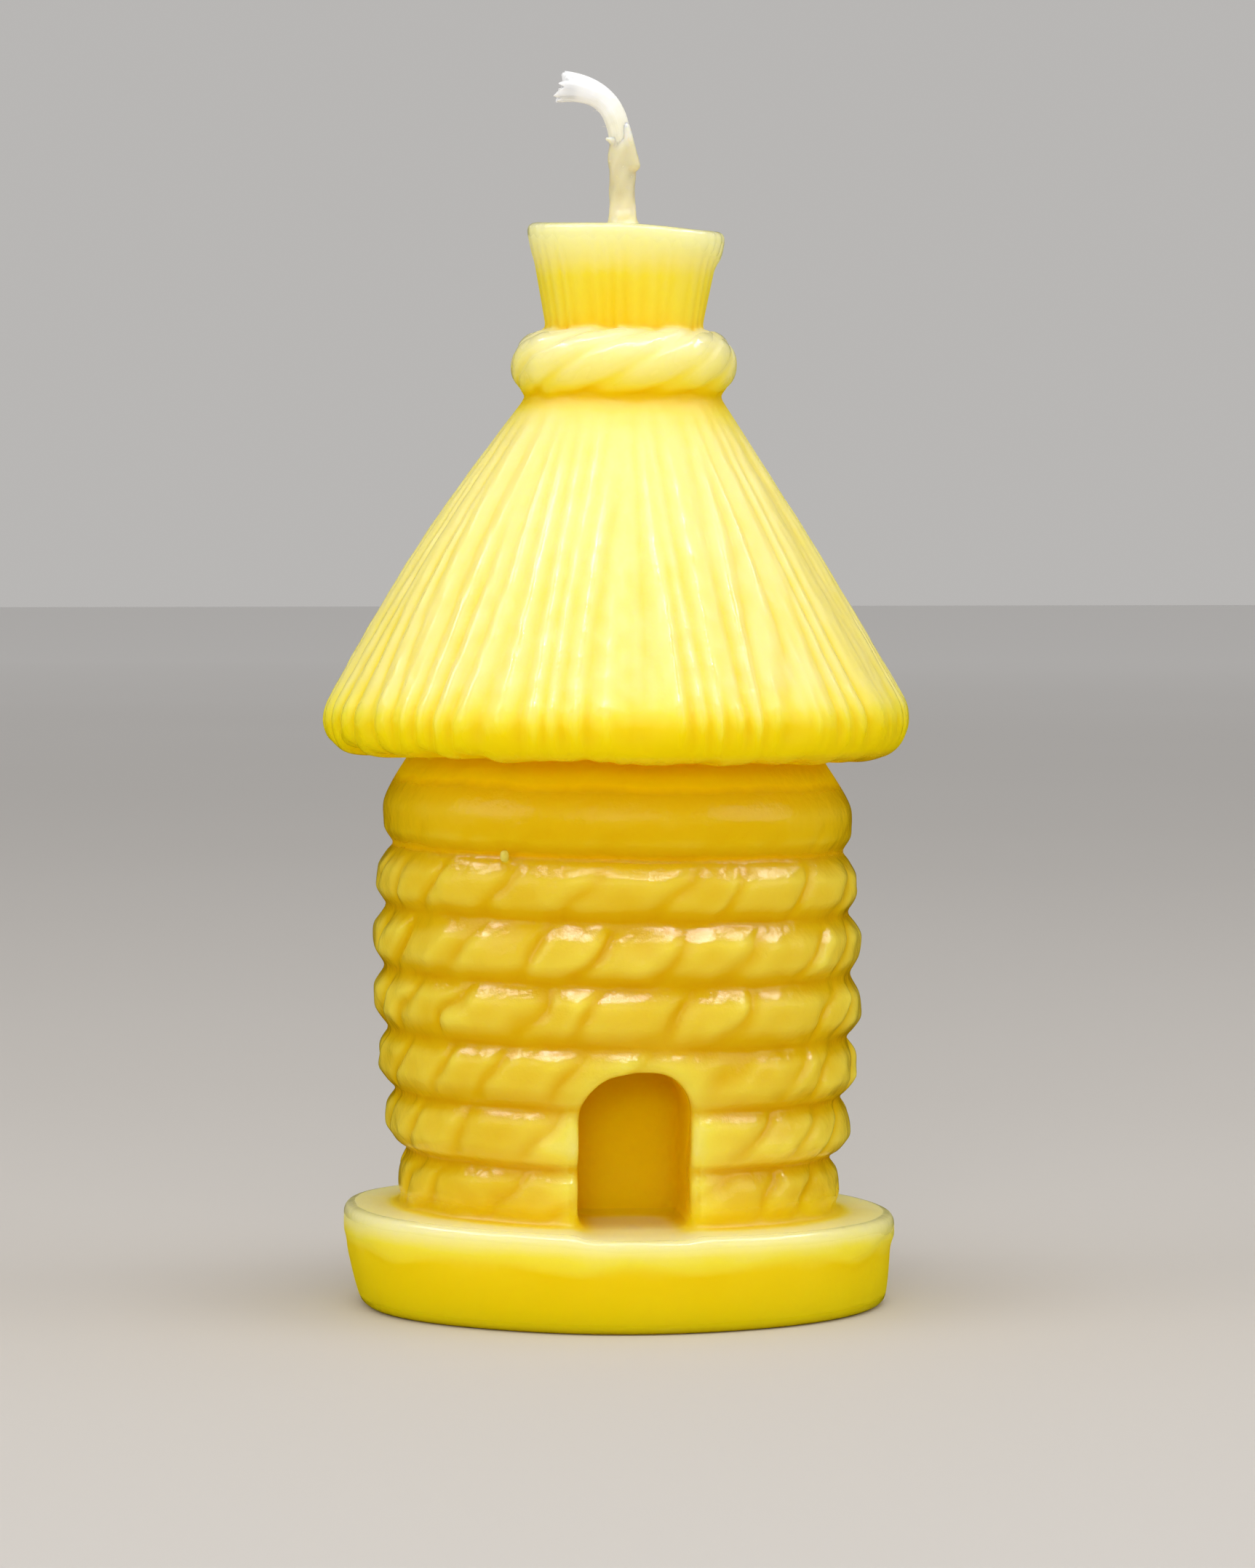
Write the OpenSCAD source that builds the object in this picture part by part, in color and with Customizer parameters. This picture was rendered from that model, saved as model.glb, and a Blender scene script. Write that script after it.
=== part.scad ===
// Hive-shaped candle: solid wax in the form of a straw hive with a thatched
// roof, round a braided wick. Millimetres, Z up. The origin is the centre of
// the underside, and the doorway faces -Y.

/* [Plinth] */
// Largest radius of the plinth
plinth_r = 25.5; // [24.5:0.1:27]
// Height of the plinth
plinth_h = 9; // [7:0.5:11]
// Radius of the plinth's underside
plinth_foot_r = 23.8; // [22:0.1:24]
// Rounding of the plinth's top edge
plinth_edge_r = 1.2; // [0.6:0.1:2]

/* [Wall] */
// Height of one rope course
course_pitch = 5.55; // [5.4:0.05:5.8]
// Radius of the widest course
course_r = 22.8; // [22.2:0.1:23.5]
// How far the ends of the barrel draw in
barrel_draw = 2; // [0.5:0.1:2.2]
// Depth of the groove between two courses
course_groove = 1.25; // [0.8:0.05:1.4]
// Radius of the solid core behind the courses
core_r = 19.2; // [17:0.1:19.4]
// Height of the bare neck between the top course and the eave
neck_h = 2.8; // [1:0.1:3]
// Strands round one course
strand_count = 20; // [14:1:24]
// Lean of the strands from upright
strand_lean = 45; // [30:1:55]
// Depth of the groove between two strands
strand_groove = 0.55; // [0.2:0.05:0.8]

/* [Doorway] */
// Width of the doorway
door_w = 10.4; // [8:0.1:12]
// Height of the doorway above the plinth
door_h = 14; // [11:0.1:15.5]
// Rounding of the doorway's upper corners
door_corner_r = 3.4; // [2:0.1:3.8]
// Distance from the candle's axis to the back of the doorway
door_back = 7; // [5:0.1:16]

/* [Roof] */
// Height of the roof above its eave
roof_h = 33.8; // [28:0.1:38]
// Radius of the roof at its top
roof_top_r = 9.1; // [8.6:0.1:10]
// Largest radius of the eave
eave_r = 27.3; // [26:0.1:29]
// Radius of the eave's rounded edge
eave_edge_r = 4; // [3:0.1:4.5]
// Straw flutes round the roof
flute_count = 60; // [40:2:60]
// Depth of a flute at the eave
flute_depth = 0.75; // [0.3:0.05:0.9]

/* [Rope tie] */
// Largest radius of the rope tie
tie_r = 10.5; // [9.8:0.1:11]
// Strands round the rope tie
tie_strand_count = 14; // [10:1:18]
// Lean of the tie's strands from upright
tie_strand_lean = 55; // [40:1:60]
// Depth of the groove between two strands of the tie
tie_groove = 0.5; // [0.2:0.05:0.7]

/* [Topknot] */
// Radius of the straw bundle inside the tie
bundle_r = 7.4; // [6.8:0.1:7.8]
// Radius of the topknot's rim
rim_r = 9.1; // [8.6:0.1:10]
// Height of the topknot above the tie
topknot_h = 9.5; // [7:0.1:11]
// Rounding of the rim
rim_edge_r = 0.9; // [0.4:0.1:1.4]
// Flutes round the topknot
topknot_flute_count = 30; // [20:2:36]

/* [Wick] */
// Diameter of the bare wick
wick_d = 2.1; // [1.6:0.1:2.6]
// Straight length of the wick above the wax
wick_rise = 8; // [6:0.5:12]
// Radius of the wick's bend
wick_bend_r = 4.2; // [3.5:0.1:5]
// Angle that the wick bends through
wick_bend = 75; // [60:5:85]
// Length of the frayed tip
fray_length = 2.4; // [1.5:0.1:3]
// Diameter of the frayed end
fray_d = 3.4; // [2.6:0.1:3.6]
// Thickness of the wax on the wick
coat_t = 0.15; // [0.1:0.05:0.3]

/* [Hidden] */
// Curves are true arcs; this only sets how finely a preview draws them.
$fn = 96;

wick_r = wick_d / 2;
// Rope courses in the wall, one node each
course_count = 7;
// Heights of the joints between the features
eave_z = plinth_h + course_count * course_pitch + neck_h;
tie_z = eave_z + roof_h;
tie_edge_r = tie_r - bundle_r;
topknot_z = tie_z + 2 * tie_edge_r;
top_z = topknot_z + topknot_h;
// The barrel is widest at its middle
barrel_z = plinth_h + 0.58 * course_count * course_pitch;
barrel_half = course_count * course_pitch / 2;
// The flare where the lowest course runs out onto the plinth
flare_w = 1.6;
flare_h = 2;
// Groove cutters: a groove is this round in section
strand_cutter_r = 0.8;
tie_cutter_r = 0.9;
flute_top_depth = 0.28;
topknot_cutter_r = 0.6;
topknot_flute_depth = 0.22;
// How far the frayed tip reaches into the bend
tip_lap = 0.3;
// Wax that climbs the wick's foot, and the drip on its side
meniscus_r = 0.9;
coat_h = 8;
drip_r = 0.45;
drip_top = [0.95, 8];
drip_foot = [1.3, 5.6];

wax_roof = "#fbe680";
wax_wall = "#e3bc3a";
wax_plinth = "#e6cc1e";
wax_topknot = "#fadf3c";
cotton = "#efe9cf";
waxed_cotton = "#f0e7b8";

// Radius of the barrel's ropes at height z
function barrel_r(z) =
    course_r - barrel_draw * pow((z - barrel_z) / barrel_half, 2);

// Radius that an arc needs to rise by depth over half its chord
function arc_r(half_chord, depth) =
    (pow(half_chord, 2) + pow(depth, 2)) / (2 * depth);

module wick_bore() {
    translate([0, 0, -1])
        cylinder(r = wick_r, h = top_z + 2);
}

module doorway_outline() {
    straight_h = door_h - door_corner_r;
    inner_w = door_w - 2 * door_corner_r;
    translate([-door_w / 2, 0])
        square([door_w, straight_h]);
    translate([-inner_w / 2, 0])
        square([inner_w, door_h]);
    for (side = [-1, 1])
        translate([side * inner_w / 2, straight_h])
            circle(r = door_corner_r);
}

module doorway_space() {
    translate([0, -door_back, plinth_h])
        rotate([90, 0, 0])
            linear_extrude(height = course_r + 4 - door_back)
                doorway_outline();
}

// A straight round cutter that lies across a rope at radius r and height z
module strand_cutter(r, z, lean, cutter_r, length) {
    translate([r, 0, z])
        rotate([-lean, 0, 0])
            cylinder(r = cutter_r, h = length, center = true);
}

// A cone from one [radius, height] point to another
module slope_cutter(from, to, r1, r2) {
    run = from.x - to.x;
    rise = to.y - from.y;
    translate([from.x, 0, from.y])
        rotate([0, -atan2(run, rise), 0])
            cylinder(r1 = r1, r2 = r2, h = norm([run, rise]));
}

module plinth() {
    color(wax_plinth)
        difference() {
            rotate_extrude() {
                polygon([
                    [0, 0],
                    [plinth_foot_r, 0],
                    [plinth_r - 0.6, plinth_h * 0.3],
                    [plinth_r, plinth_h - plinth_edge_r],
                    [plinth_r - plinth_edge_r, plinth_h],
                    [0, plinth_h]
                ]);
                translate([plinth_r - plinth_edge_r, plinth_h - plinth_edge_r])
                    circle(r = plinth_edge_r);
            }
            wick_bore();
        }
}

module wall_core() {
    color(wax_wall)
        difference() {
            translate([0, 0, plinth_h])
                cylinder(r = core_r, h = eave_z - plinth_h);
            wick_bore();
            doorway_space();
        }
}

// One rope of the wall, counted from 1 at the plinth
module rope_course(number) {
    low_z = plinth_h + (number - 1) * course_pitch;
    mid_z = low_z + course_pitch / 2;
    bead_r = arc_r(course_pitch / 2, course_groove);
    peak_r = barrel_r(mid_z);
    color(wax_wall)
        difference() {
            rotate_extrude() {
                intersection() {
                    translate([peak_r - bead_r, mid_z])
                        circle(r = bead_r);
                    translate([core_r, low_z])
                        square([bead_r, course_pitch]);
                }
                if (number == 1)
                    polygon([
                        [core_r, low_z],
                        [peak_r + flare_w, low_z],
                        [peak_r - 0.2, low_z + flare_h],
                        [core_r, low_z + flare_h]
                    ]);
            }
            // Each course starts a little further round than the one below it.
            for (i = [0 : strand_count - 1])
                rotate([0, 0, (i + 0.37 * number) * 360 / strand_count])
                    strand_cutter(
                        peak_r + strand_cutter_r - strand_groove, mid_z,
                        strand_lean, strand_cutter_r, 2 * course_pitch
                    );
            doorway_space();
        }
}

// A ring of straw bundles: each has a flat back, and a groove follows it
function thatch_ring(r, z, groove) = [
    for (i = [0 : flute_count - 1], corner = [[-0.28, 0], [0.28, 0], [0.5, groove]])
        let (turn = (i + corner[0]) * 360 / flute_count, reach = r - corner[1])
            [reach * cos(turn), reach * sin(turn), z]
];

module thatch_roof() {
    edge = [eave_r - eave_edge_r, eave_z + eave_edge_r];
    top = [roof_top_r, tie_z];
    // The slope leaves the rounded edge where it is tangent to it
    span = top - edge;
    shoulder = atan2(span.y, span.x) - acos(eave_edge_r / norm(span));
    edge_turns = [-90, -60, -30, 0, shoulder];
    last_turn = len(edge_turns) - 1;
    rings = [
        for (k = [0 : last_turn])
            let (turn = edge_turns[k])
                thatch_ring(
                    edge.x + eave_edge_r * cos(turn),
                    edge.y + eave_edge_r * sin(turn),
                    flute_depth * k / last_turn
                ),
        thatch_ring(top.x, top.y, flute_top_depth)
    ];
    around = 3 * flute_count;
    last_ring = len(rings) - 1;
    color(wax_roof)
        difference() {
            polyhedron(
                points = [for (ring = rings, point = ring) point],
                faces = [
                    [for (j = [0 : around - 1]) j],
                    for (k = [0 : last_ring - 1], j = [0 : around - 1])
                        let (next = (j + 1) % around, low = k * around, high = low + around)
                            each [
                                [low + j, high + j, high + next],
                                [low + j, high + next, low + next]
                            ],
                    [for (j = [around - 1 : -1 : 0]) last_ring * around + j]
                ]
            );
            wick_bore();
        }
}

module rope_tie() {
    mid_z = tie_z + tie_edge_r;
    color(wax_topknot)
        difference() {
            rotate_extrude()
                intersection() {
                    translate([bundle_r, mid_z])
                        circle(r = tie_edge_r);
                    translate([bundle_r, tie_z])
                        square([tie_edge_r, 2 * tie_edge_r]);
                }
            for (i = [0 : tie_strand_count - 1])
                rotate([0, 0, i * 360 / tie_strand_count])
                    strand_cutter(
                        tie_r + tie_cutter_r - tie_groove, mid_z,
                        tie_strand_lean, tie_cutter_r, 4 * tie_edge_r
                    );
        }
}

module topknot() {
    rim_z = top_z - rim_edge_r;
    lift = topknot_cutter_r - topknot_flute_depth;
    color(wax_topknot)
        difference() {
            rotate_extrude() {
                polygon([
                    [0, tie_z],
                    [bundle_r, tie_z],
                    [bundle_r, topknot_z],
                    [rim_r, rim_z],
                    [rim_r - rim_edge_r, top_z],
                    [0, top_z]
                ]);
                translate([rim_r - rim_edge_r, rim_z])
                    circle(r = rim_edge_r);
            }
            wick_bore();
            for (i = [0 : topknot_flute_count - 1])
                rotate([0, 0, i * 360 / topknot_flute_count])
                    slope_cutter(
                        [bundle_r + lift, topknot_z + 0.5], [rim_r + lift, rim_z],
                        topknot_cutter_r, topknot_cutter_r
                    );
        }
}

module wick() {
    bend_z = top_z + wick_rise;
    color(cotton) {
        cylinder(r = wick_r, h = bend_z);
        translate([-wick_bend_r, 0, bend_z]) {
            rotate([90, 0, 0])
                rotate_extrude(angle = wick_bend)
                    translate([wick_bend_r, 0])
                        circle(r = wick_r);
            // The tip starts a little way inside the bend, so that the two join
            rotate([0, -wick_bend, 0])
                translate([wick_bend_r, 0, -tip_lap])
                    cylinder(r1 = wick_r - 0.02, r2 = fray_d / 2, h = fray_length + tip_lap);
        }
    }
}

module wick_wax() {
    coat_r = wick_r + coat_t;
    color(waxed_cotton)
        difference() {
            translate([0, 0, top_z]) {
                cylinder(r = coat_r, h = coat_h);
                rotate_extrude()
                    difference() {
                        square([coat_r + meniscus_r, meniscus_r]);
                        translate([coat_r + meniscus_r, meniscus_r])
                            circle(r = meniscus_r);
                    }
                slope_cutter(drip_foot, drip_top, drip_r, drip_r);
                translate([drip_foot.x, 0, drip_foot.y])
                    sphere(r = drip_r);
            }
            cylinder(r = wick_r, h = top_z + 2 * coat_h);
        }
}

plinth();
wall_core();
rope_course(1);  // rope_course_1
rope_course(2);  // rope_course_2
rope_course(3);  // rope_course_3
rope_course(4);  // rope_course_4
rope_course(5);  // rope_course_5
rope_course(6);  // rope_course_6
rope_course(7);  // rope_course_7
thatch_roof();
rope_tie();
topknot();
wick();
wick_wax();
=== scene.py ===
import math

import bpy
import numpy as np
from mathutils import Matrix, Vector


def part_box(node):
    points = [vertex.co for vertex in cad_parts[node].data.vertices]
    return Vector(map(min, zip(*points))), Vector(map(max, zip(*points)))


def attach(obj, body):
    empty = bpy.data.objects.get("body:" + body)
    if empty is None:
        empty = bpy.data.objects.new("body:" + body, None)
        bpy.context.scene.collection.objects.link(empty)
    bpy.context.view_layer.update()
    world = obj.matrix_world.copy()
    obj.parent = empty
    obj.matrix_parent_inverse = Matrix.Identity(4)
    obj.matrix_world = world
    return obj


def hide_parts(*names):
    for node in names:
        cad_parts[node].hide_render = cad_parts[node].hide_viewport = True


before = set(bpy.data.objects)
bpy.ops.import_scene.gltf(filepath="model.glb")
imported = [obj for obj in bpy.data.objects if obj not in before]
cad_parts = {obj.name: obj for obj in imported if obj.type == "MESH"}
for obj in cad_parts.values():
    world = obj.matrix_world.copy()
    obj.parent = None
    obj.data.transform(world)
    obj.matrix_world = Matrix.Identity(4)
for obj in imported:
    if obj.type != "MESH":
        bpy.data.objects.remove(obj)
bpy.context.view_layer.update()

import openvdb
from mathutils import Vector

MM = 0.001
FRONT = -math.pi / 2          # the doorway's direction, as an angle round the candle
VIEW_TURN = math.radians(4.6) # the camera looks from this far to the left of the doorway


def box_mm(node):
    """A CAD node's lowest and highest corners, in millimetres."""
    low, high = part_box(node)
    return low / MM, high / MM


# -------------------------------- sizes, in millimetres

PLINTH_TOP = box_mm("plinth")[1].z
PLINTH_R = box_mm("plinth")[1].x
FOOT_R = PLINTH_R - 1.3
TILT = 0.02                   # the courses run down to the right by this much per millimetre
COURSES = [box_mm(f"rope_course_{k}") for k in range(1, 8)]
COURSE_FLARE = 1.6            # the lowest course's flare counts in its box
EAVE_Z = box_mm("thatch_roof")[0].z
EAVE_R = box_mm("thatch_roof")[1].x
EAVE_EDGE = 4.0
ROOF_TOP_R = 9.1
TIE_Z, TIE_TOP = box_mm("rope_tie")[0].z, box_mm("rope_tie")[1].z
TIE_R = box_mm("rope_tie")[1].x
TIE_EDGE = (TIE_TOP - TIE_Z) / 2
BUNDLE_R = TIE_R - TIE_EDGE
TOP_Z = box_mm("topknot")[1].z
RIM_R = box_mm("topknot")[1].x
NECK_R = 18.9
UNDER_EAVE = EAVE_Z + 0.8      # the eave's flat underside
NOTCH = 1.25                  # depth of the groove between two courses
DOOR_W = 10.4
DOOR_TOP = PLINTH_TOP + 14.0
DOOR_CORNER = 3.4
DOOR_BACK = -7.0
DOOR_ROUNDING = 1.6           # inside, along the back and the floor
DOOR_LIP = 1.1                # outside, round the opening

VOXEL = 0.25
FAR = 3.0                     # distances are not followed further out than this

LEAN_Z = [0, 45, 55, 87, 97, 130]
LEAN_X = [0, 0, -0.2, 0.5, 0.7, 0.7]
WICK_X = 0.4                  # the wick's foot stands left of the leaning topknot's middle


# -------------------------------- relief tables

COLUMNS = 2048
ANGLES = np.linspace(-math.pi, math.pi, COLUMNS, endpoint=False)


def ripple(rng, angle, height, count, turns, rate):
    """A smooth random wave over angle and height with a spread of about 1. It closes round the candle."""
    total = 0.0
    for _ in range(count):
        k = rng.integers(1, turns + 1)
        slant = rng.uniform(-rate, rate) * height
        total = total + np.sin(k * angle + slant + rng.uniform(0, 2 * math.pi))
    return total / math.sqrt(count / 2)


def soften(table, passes):
    """Blurs a table round the candle and up it, a little more with each pass."""
    for _ in range(passes):
        table = (np.roll(table, 1, 0) + 2 * table + np.roll(table, -1, 0)) / 4
        padded = np.pad(table, ((0, 0), (1, 1)), mode="edge")
        table = (padded[:, :-2] + 2 * table + padded[:, 2:]) / 4
    return table


def cells(position, count, jitter):
    """Splits a position, counted in unevenly wide cells round the candle, into cell number and place in it."""
    borders = np.arange(count) + jitter
    knots = np.concatenate([borders[-3:] - count, borders, borders[:3] + count])
    even = np.interp(np.mod(position, count), knots, np.arange(-3, count + 3))
    number = np.floor(even).astype(int)
    return np.mod(number, count), even - number


def by_knots(values, knots):
    """Straight lines through a list of (place, value) knots, read at each of the values."""
    places, heights = zip(*knots)
    return np.interp(values, places, heights)


def read_table(table, angle, level):
    """Bilinear reading of a table at an angle and at a level from 0 to 1."""
    columns, rows = table.shape
    a = (angle + math.pi) * (columns / (2 * math.pi))
    b = np.clip(level, 0, 1) * (rows - 1.001)
    i, j = np.floor(a).astype(np.int32), b.astype(np.int32)
    fa, fb = (a - i).astype(np.float32), (b - j).astype(np.float32)
    i0, i1 = np.mod(i, columns), np.mod(i + 1, columns)
    flat = table.ravel()
    low = flat[i0 * rows + j] * (1 - fa) + flat[i1 * rows + j] * fa
    high = flat[i0 * rows + j + 1] * (1 - fa) + flat[i1 * rows + j + 1] * fa
    return low * (1 - fb) + high * fb


WALL_LOW, WALL_HIGH = PLINTH_TOP - 2, EAVE_Z + 1.5
# How far right of the view's middle one groove of each course crosses it, from the lowest course up
STRAND_OFFSETS = [-5.4, -8.6, 2.0, -1.0, -1.5, -2.9, 1.0]
STRANDS = 19
STRAND_LEAN = math.radians(38)
STRAND_DEPTHS = [0.6, 0.68, 0.7, 0.72, 0.72, 0.55, 0.15]
STRAND_GROOVE = 0.85          # half width of the groove between two strands
# A rope's section from its middle out: a flat front between two flat bevels, and a narrow groove
BEAD = [(0, 1), (0.4, 0.97), (0.8, 0.34), (1, 0)]
SHOULDER = 1.4                # the top course slopes in to the neck from this far under its top
ROUND_FROM, ROUND_TO = 45.2, 46.6   # above this the wall is rounder than below it


def wall_table():
    """The wall's radius at each angle and height: seven twisted ropes on a barrel."""
    rng = np.random.default_rng(11)
    heights = np.arange(WALL_LOW, WALL_HIGH + 0.05, 0.1)
    angle, height = np.meshgrid(ANGLES, heights, indexing="ij")
    radius = np.full(angle.shape, NECK_R)
    for number, (low, high) in enumerate(COURSES):
        peak = high.x - (COURSE_FLARE if number == 0 else 0)
        middle, half = (low.z + high.z) / 2, (high.z - low.z) / 2
        rows = np.abs(heights - middle) <= half
        v = ((height - middle) / half)[:, rows]
        pitch = 2 * math.pi * peak / STRANDS
        shift = half * math.tan(STRAND_LEAN) / pitch
        place = (angle[:, rows] - FRONT + VIEW_TURN) * STRANDS / (2 * math.pi)
        place = place - STRAND_OFFSETS[number] / pitch
        bow = 0.35 * shift * (v ** 3 - v)
        sway = 0.06 * ripple(rng, angle[:, rows], height[:, rows], 8, 24, 1.2)
        strand, f = cells(place - shift * v + bow + sway, STRANDS, rng.uniform(-0.26, 0.26, STRANDS))
        across = np.minimum(f, 1 - f) * pitch * math.cos(STRAND_LEAN)
        groove = np.exp(-(across / STRAND_GROOVE) ** 2) * rng.uniform(0.42, 0.84, STRANDS)[strand]
        depth = STRAND_DEPTHS[number]
        lift = rng.uniform(-0.12, 0.12, STRANDS)[strand]
        tilt = rng.uniform(-0.7, 0.7, STRANDS)[strand] * (f - 0.5)
        roll = rng.uniform(-0.4, 0.25, STRANDS)[strand] * v
        # A strand's face is flatter than the barrel, so its middle sits lower than its ends would
        flat = ((f - 0.5) * pitch) ** 2 / (2 * peak) * 0.8 - 0.1
        crown = -0.3 * (2 * f - 1) ** 4
        bead = by_knots(np.abs(v), BEAD)
        share = depth / 0.7
        body = NOTCH * bead + bead * share * (lift + tilt + roll + flat + crown) - bead * depth * groove
        radius[:, rows] = peak - NOTCH + body
    # The top course has no groove above it. It slopes in to the neck under the eave
    low, high = COURSES[-1]
    shoulder = high.z - SHOULDER
    slope = np.clip((height - shoulder) / (UNDER_EAVE - shoulder), 0, 1) ** 1.2
    slope = high.x - (high.x - NECK_R) * slope
    radius = np.where(height > (low.z + high.z) / 2, np.maximum(radius, slope), radius)
    radius += 0.06 * ripple(rng, angle, height, 10, 9, 0.3)
    # Small flats and dents, as on a form pressed by hand
    dents = ripple(rng, angle, height, 30, 30, 1.7)
    radius += 0.06 * np.tanh(1.6 * dents) * np.interp(height, [40, 44], [1, 0.25])
    rounder = np.interp(heights, [ROUND_FROM, ROUND_TO], [0, 1])
    radius = soften(radius, 7)
    radius = radius + (soften(radius, 30) - radius) * rounder
    return radius.astype(np.float32)


ROOF_LOW, ROOF_HIGH = EAVE_Z - 1.5, TIE_Z + 3
BUNDLES = 29
# Drips left on the eave's lip: degrees right of the front, half width in radians, and drop in millimetres
LIP_NUBS = [(-76, 0.05, 0.8), (-62, 0.03, 0.4), (-24, 0.035, 0.2), (9, 0.05, 0.15), (74, 0.06, 0.4)]


def roof_table():
    """How far the thatch's surface lies below its straight cone, at each angle and height."""
    rng = np.random.default_rng(5)
    heights = np.arange(ROOF_LOW, ROOF_HIGH + 0.05, 0.1)
    angle, height = np.meshgrid(ANGLES, heights, indexing="ij")
    up = np.clip((height - EAVE_Z) / (TIE_Z - EAVE_Z), 0, 1)
    reach = EAVE_R + (ROOF_TOP_R - EAVE_R) * up
    sway = 0.05 * ripple(rng, angle, height, 8, 14, 0.12) * (1 - 0.3 * up)
    place = (angle - FRONT) * BUNDLES / (2 * math.pi) + sway * 4
    bundle, f = cells(place, BUNDLES, rng.uniform(-0.2, 0.2, BUNDLES))
    pitch = 2 * math.pi * reach / BUNDLES
    # Each bundle parts in two below a height of its own; a few never do
    fork = rng.uniform(0.1, 0.95, BUNDLES)[bundle]
    split = 1 / (1 + np.exp((up - fork) / 0.045))
    cut = rng.uniform(0.4, 0.6, BUNDLES)[bundle]
    depth_main = rng.uniform(0.7, 1.1, BUNDLES)[bundle]
    depth_split = rng.uniform(0.5, 1.05, BUNDLES)[bundle] * split
    edge = np.minimum(f, 1 - f) * pitch
    inner = np.abs(f - cut) * pitch
    width = 0.46 + 0.42 * (1 - up)
    side = np.where(f < cut, f / cut, (f - cut) / (1 - cut))
    whole_crown = np.abs(2 * f - 1) ** 2.2
    half_crown = np.abs(2 * side - 1) ** 2.2
    crown = whole_crown * (1 - split) + half_crown * split
    groove = np.maximum(depth_main * np.exp(-(edge / width) ** 2),
                        depth_split * np.exp(-(inner / width) ** 2))
    lift = rng.uniform(-0.25, 0.25, (2, BUNDLES))
    lean = np.where(f < cut, lift[0][bundle], lift[1][bundle]) * split
    straws = 0.06 * ripple(rng, angle, height, 14, 150, 0.05)
    straws = straws + 0.05 * ripple(rng, angle, height, 8, 60, 0.4)
    knots = ripple(rng, angle, height, 24, 110, 2.4)
    straws = straws + 0.045 * np.tanh(1.5 * knots)
    # The right side has come out of the mould shallower than the rest
    side_fade = 1 - 0.4 * np.clip(np.cos(angle - 0.15), 0, 1) ** 1.5
    amount = (0.3 + 0.45 * (1 - up)) * side_fade
    table = amount * (0.42 * crown + 0.55 * groove + 0.4 * lean) + straws * (0.5 + 0.5 * (1 - up))
    return soften(table, 4).astype(np.float32)


TIE_STRANDS = 10


def tie_table():
    """The rope tie's grooves, by angle round the candle and place round the rope's own section."""
    rng = np.random.default_rng(23)
    sections = np.linspace(-1, 1, 121)
    angle, section = np.meshgrid(ANGLES, sections, indexing="ij")
    place = (angle - FRONT) * TIE_STRANDS / (2 * math.pi) - 1.25 * section - 0.35 * section ** 3
    strand, f = cells(place, TIE_STRANDS, rng.uniform(-0.14, 0.14, TIE_STRANDS))
    pitch = 2 * math.pi * TIE_R / TIE_STRANDS
    across = np.minimum(f, 1 - f) * pitch * 0.6
    groove = np.exp(-(across / 0.55) ** 2) * rng.uniform(0.12, 0.45, TIE_STRANDS)[strand]
    crown = 0.16 * np.abs(2 * f - 1) ** 2.5
    table = groove * 0.7 + crown + 0.06 * ripple(rng, angle, section, 10, 22, 4)
    return soften(table, 5).astype(np.float32)


TOPKNOT_FLUTES = 34


def topknot_table():
    """Faint flutes of the cut straw above the tie."""
    rng = np.random.default_rng(31)
    levels = np.linspace(0, 1, 81)
    angle, level = np.meshgrid(ANGLES, levels, indexing="ij")
    place = (angle - FRONT) * TOPKNOT_FLUTES / (2 * math.pi)
    place = place + 0.12 * ripple(rng, angle, level, 6, 9, 1.5)
    flute, f = cells(place, TOPKNOT_FLUTES, rng.uniform(-0.2, 0.2, TOPKNOT_FLUTES))
    depth = rng.uniform(0.05, 0.32, TOPKNOT_FLUTES)[flute]
    fade = 1 - 0.75 * np.clip((level - 0.7) / 0.3, 0, 1)
    table = depth * np.abs(2 * f - 1) ** 2 * fade + 0.1 * ripple(rng, angle, level, 6, 4, 3)
    return soften(table, 5).astype(np.float32)


# -------------------------------- the wax as a distance field

def smooth_union(a, b, k):
    """Both shapes in one, with a fillet of about k between them."""
    h = np.clip(0.5 + 0.5 * (b - a) / k, 0, 1)
    return b + (a - b) * h - k * h * (1 - h)


def smooth_cut(a, b, k):
    """a without b, with an edge rounded over about k."""
    return -smooth_union(-a, b, k)


def smooth_max(a, b, k):
    """What both shapes share, with an edge rounded over about k."""
    return -smooth_union(-a, -b, k)


X = np.arange(-29.5, 29.5, VOXEL, dtype=np.float32)
Z = np.arange(-1.5, TOP_Z + 3, VOXEL, dtype=np.float32)
field = np.full((len(X), len(X), len(Z)), FAR, np.float32)


def block(low_z, high_z, reach):
    """The part of the field within a height range and a reach from the axis, with its coordinates."""
    ks = np.flatnonzero((Z >= low_z) & (Z <= high_z))
    cs = np.flatnonzero(np.abs(X) <= reach)
    here = (slice(cs[0], cs[-1] + 1), slice(cs[0], cs[-1] + 1), slice(ks[0], ks[-1] + 1))
    x, y, z = np.meshgrid(X[here[0]], X[here[1]], Z[here[2]], indexing="ij", sparse=True)
    x = x - np.interp(z, LEAN_Z, LEAN_X).astype(np.float32)
    radius = np.hypot(x, y)
    angle = np.arctan2(y, x) + np.zeros_like(radius)
    return here, x, y, z, radius, angle


def ring_values(table, angle):
    """Reads a table that has one number for each angle round the candle."""
    return read_table(table.astype(np.float32).repeat(2, 1), angle, np.zeros_like(angle))


def rounded_disc(radius, z, rim, low, high, edge):
    """A disc with a round edge, its rim's radius given at each point."""
    out = radius - rim + edge
    over = np.abs(z - (low + high) / 2) - (high - low) / 2 + edge
    return np.hypot(np.maximum(out, 0), np.maximum(over, 0)) + np.minimum(np.maximum(out, over), 0) - edge


PLINTH_LINE = 5.9             # the line where the plinth's wider rim meets its foot


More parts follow.
